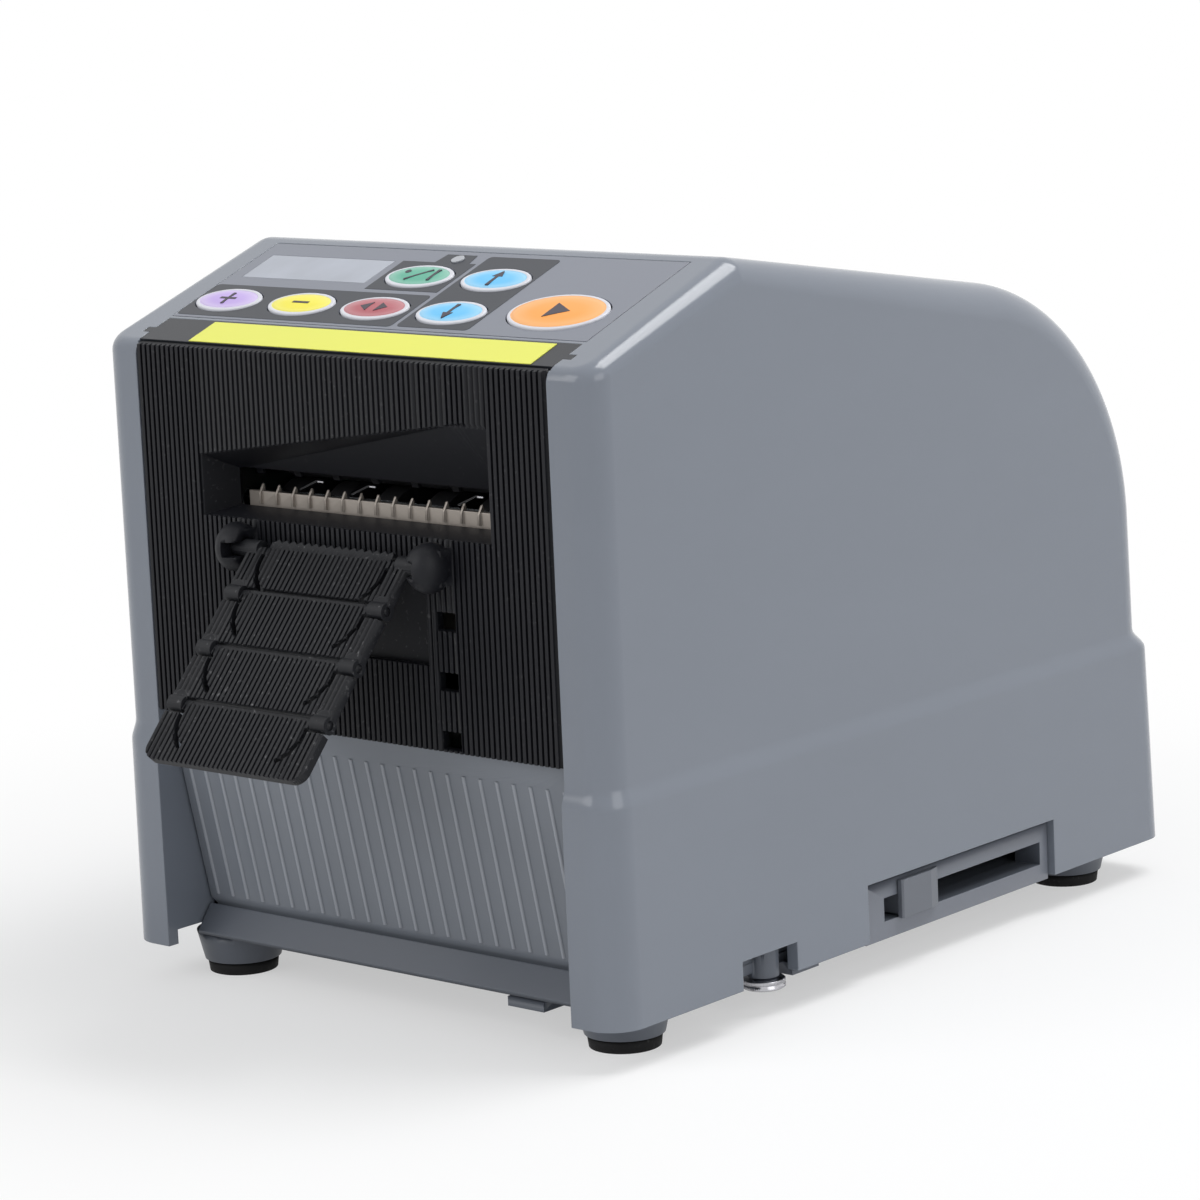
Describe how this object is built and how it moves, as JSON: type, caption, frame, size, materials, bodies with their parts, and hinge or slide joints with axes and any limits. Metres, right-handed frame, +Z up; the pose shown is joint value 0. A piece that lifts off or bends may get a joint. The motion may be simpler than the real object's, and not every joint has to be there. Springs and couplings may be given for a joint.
{
  "type": "electric tape dispenser",
  "caption": "Bench-top electric tape dispenser: hooded grey housing, sloped keypad, ribbed outlet panel with a folding chute, feed rollers, guillotine cutter and tape reel.",
  "frame": {"origin": "centre of the overall box in X and Y, on the plane the rubber feet stand on", "axes": "+X to the right seen from the front, +Y to the back, +Z up; the outlet faces -Y"},
  "size_m": [0.151, 0.2494, 0.1687],
  "materials": {
    "housing_grey": "glossy moulded ABS, light grey",
    "base_grey": "satin moulded ABS, darker grey",
    "ribbed_black": "matte ribbed black moulding",
    "comb_metal": "satin bronze-grey metal",
    "plated_steel": "zinc-plated steel",
    "bright_chrome": "bright plated",
    "motor_can": "dull plated steel can",
    "gear_nylon": "natural nylon",
    "pinion_brass": "machined brass",
    "rubber_black": "moulded rubber",
    "feed_rubber": "dark silicone rubber",
    "reel_green": "satin green moulding",
    "board_green": "circuit board",
    "overlay_grey": "printed film",
    "label_yellow": "bare yellow film",
    "window_clear": "smoked clear window",
    "lens_grey": "translucent lens",
    "key_lilac": "printed film, white rim",
    "key_yellow": "printed film, white rim",
    "key_red": "printed film, white rim",
    "key_green": "printed film, white rim",
    "key_blue": "printed film, white rim",
    "key_orange": "printed film, white rim"
  },
  "bodies": {
    "base": {"base_tray": "base_grey", "lower_front_panel": "housing_grey", "outlet_panel": "ribbed_black", "guide_comb": "comb_metal", "finger_guide": "ribbed_black", "lower_blade": "plated_steel", "frame_plate_left": "plated_steel", "frame_plate_right": "plated_steel", "cross_rods": "plated_steel", "feed_motor": "motor_can", "cutter_motor": "motor_can", "reel_post_left": "base_grey", "reel_post_right": "base_grey", "reel_axle": "plated_steel", "main_board": "board_green", "power_inlet": "ribbed_black", "switch_frame": "ribbed_black", "hinge_pins": "plated_steel", "foot_pads": "rubber_black", "base_screws": "plated_steel"},
    "rocker": {"switch_rocker": "ribbed_black"},
    "slide": {"side_slide": "housing_grey"},
    "adjuster": {"thumb_screw": "bright_chrome"},
    "chute_1": {"chute_link_1": "ribbed_black"},
    "chute_2": {"chute_link_2": "ribbed_black"},
    "chute_3": {"chute_link_3": "ribbed_black"},
    "chute_4": {"chute_link_4": "ribbed_black"},
    "feed_roller": {"feed_shaft": "plated_steel", "feed_rings": "feed_rubber", "feed_gear": "gear_nylon"},
    "pinch_roller": {"pinch_shaft": "plated_steel", "pinch_sleeve": "feed_rubber"},
    "feed_input": {"feed_pinion": "pinion_brass"},
    "cutter": {"blade_carrier": "motor_can", "upper_blade": "plated_steel"},
    "cutter_drive": {"cutter_shaft": "plated_steel", "cutter_gear": "gear_nylon"},
    "cutter_input": {"cutter_pinion": "pinion_brass"},
    "reel": {"reel_core": "reel_green", "reel_flanges": "reel_green"},
    "cover": {"cover_shell": "housing_grey", "cover_skirt": "housing_grey", "deck_strip": "ribbed_black", "label_plate": "label_yellow", "deck_overlay": "overlay_grey", "display_window": "window_clear", "display_module": "ribbed_black", "key_board": "board_green", "status_lens": "lens_grey"},
    "key_plus": {"key_plus": "key_lilac"},
    "key_minus": {"key_minus": "key_yellow"},
    "key_select": {"key_select": "key_red"},
    "key_mode": {"key_mode": "key_green"},
    "key_forward": {"key_forward": "key_blue"},
    "key_reverse": {"key_reverse": "key_blue"},
    "key_start": {"key_start": "key_orange"}
  },
  "joints": [
    {"name": "cover_lift", "type": "hinge", "parent": "base", "child": "cover", "pos_m": [0, 0.11971, 0.0132], "axis": [-1, 0, 0], "range_deg": [0, 75]},
    {"name": "power_rock", "type": "hinge", "parent": "base", "child": "rocker", "pos_m": [0, 0.11991, 0.0305], "axis": [1, 0, 0], "range_deg": [0, 16]},
    {"name": "side_slide_travel", "type": "slide", "parent": "base", "child": "slide", "axis": [0, 1, 0], "range_m": [0, 0.038]},
    {"name": "thumb_turn", "type": "hinge", "parent": "base", "child": "adjuster", "pos_m": [0.069, -0.02819, 0.009], "axis": [0, 0, 1], "continuous": true},
    {"name": "chute_fold_1", "type": "hinge", "parent": "base", "child": "chute_1", "pos_m": [0, -0.08729, 0.1065], "axis": [1, 0, 0], "range_deg": [-48, 30]},
    {"name": "chute_fold_2", "type": "hinge", "parent": "chute_1", "child": "chute_2", "pos_m": [0, -0.09512, 0.09781], "axis": [1, 0, 0], "range_deg": [-40, 4]},
    {"name": "chute_fold_3", "type": "hinge", "parent": "chute_2", "child": "chute_3", "pos_m": [0, -0.10468, 0.08718], "axis": [1, 0, 0], "range_deg": [-40, 4]},
    {"name": "chute_fold_4", "type": "hinge", "parent": "chute_3", "child": "chute_4", "pos_m": [0, -0.11425, 0.07655], "axis": [1, 0, 0], "range_deg": [-40, 4]},
    {"name": "feed_spin", "type": "hinge", "parent": "base", "child": "feed_roller", "pos_m": [0, -0.05469, 0.1078], "axis": [1, 0, 0], "continuous": true},
    {"name": "pinch_spin", "type": "hinge", "parent": "base", "child": "pinch_roller", "pos_m": [0, -0.05469, 0.1252], "axis": [1, 0, 0], "continuous": true},
    {"name": "feed_input_spin", "type": "hinge", "parent": "base", "child": "feed_input", "pos_m": [0, -0.03772, 0.09083], "axis": [1, 0, 0], "continuous": true},
    {"name": "blade_drop", "type": "slide", "parent": "base", "child": "cutter", "axis": [0, 0, -1], "range_m": [0, 0.007]},
    {"name": "cutter_drive_turn", "type": "hinge", "parent": "base", "child": "cutter_drive", "pos_m": [0, -0.05869, 0.135], "axis": [1, 0, 0], "range_deg": [-0.5, 67.5]},
    {"name": "cutter_input_turn", "type": "hinge", "parent": "base", "child": "cutter_input", "pos_m": [0, -0.04086, 0.1375], "axis": [1, 0, 0], "range_deg": [-135, 0.5]},
    {"name": "reel_spin", "type": "hinge", "parent": "base", "child": "reel", "pos_m": [0, 0.04831, 0.08], "axis": [1, 0, 0], "continuous": true},
    {"name": "press_plus", "type": "slide", "parent": "cover", "child": "key_plus", "axis": [0, 0.3461, -0.9382], "range_m": [0, 0.0006], "stiffness_N_per_m": 900, "springref_m": -0.0004},
    {"name": "press_minus", "type": "slide", "parent": "cover", "child": "key_minus", "axis": [0, 0.3461, -0.9382], "range_m": [0, 0.0006], "stiffness_N_per_m": 900, "springref_m": -0.0004},
    {"name": "press_select", "type": "slide", "parent": "cover", "child": "key_select", "axis": [0, 0.3461, -0.9382], "range_m": [0, 0.0006], "stiffness_N_per_m": 900, "springref_m": -0.0004},
    {"name": "press_mode", "type": "slide", "parent": "cover", "child": "key_mode", "axis": [0, 0.3461, -0.9382], "range_m": [0, 0.0006], "stiffness_N_per_m": 900, "springref_m": -0.0004},
    {"name": "press_forward", "type": "slide", "parent": "cover", "child": "key_forward", "axis": [0, 0.3461, -0.9382], "range_m": [0, 0.0006], "stiffness_N_per_m": 900, "springref_m": -0.0004},
    {"name": "press_reverse", "type": "slide", "parent": "cover", "child": "key_reverse", "axis": [0, 0.3461, -0.9382], "range_m": [0, 0.0006], "stiffness_N_per_m": 900, "springref_m": -0.0004},
    {"name": "press_start", "type": "slide", "parent": "cover", "child": "key_start", "axis": [0, 0.3461, -0.9382], "range_m": [0, 0.0006], "stiffness_N_per_m": 900, "springref_m": -0.0004}
  ],
  "couplings": [
    {"joint": "pinch_spin", "follows": "feed_spin", "ratio": -1.125},
    {"joint": "feed_input_spin", "follows": "feed_spin", "ratio": -3},
    {"joint": "cutter_drive_turn", "follows": "blade_drop", "rad_per_m": 166.67},
    {"joint": "cutter_input_turn", "follows": "blade_drop", "rad_per_m": -333.33}
  ]
}
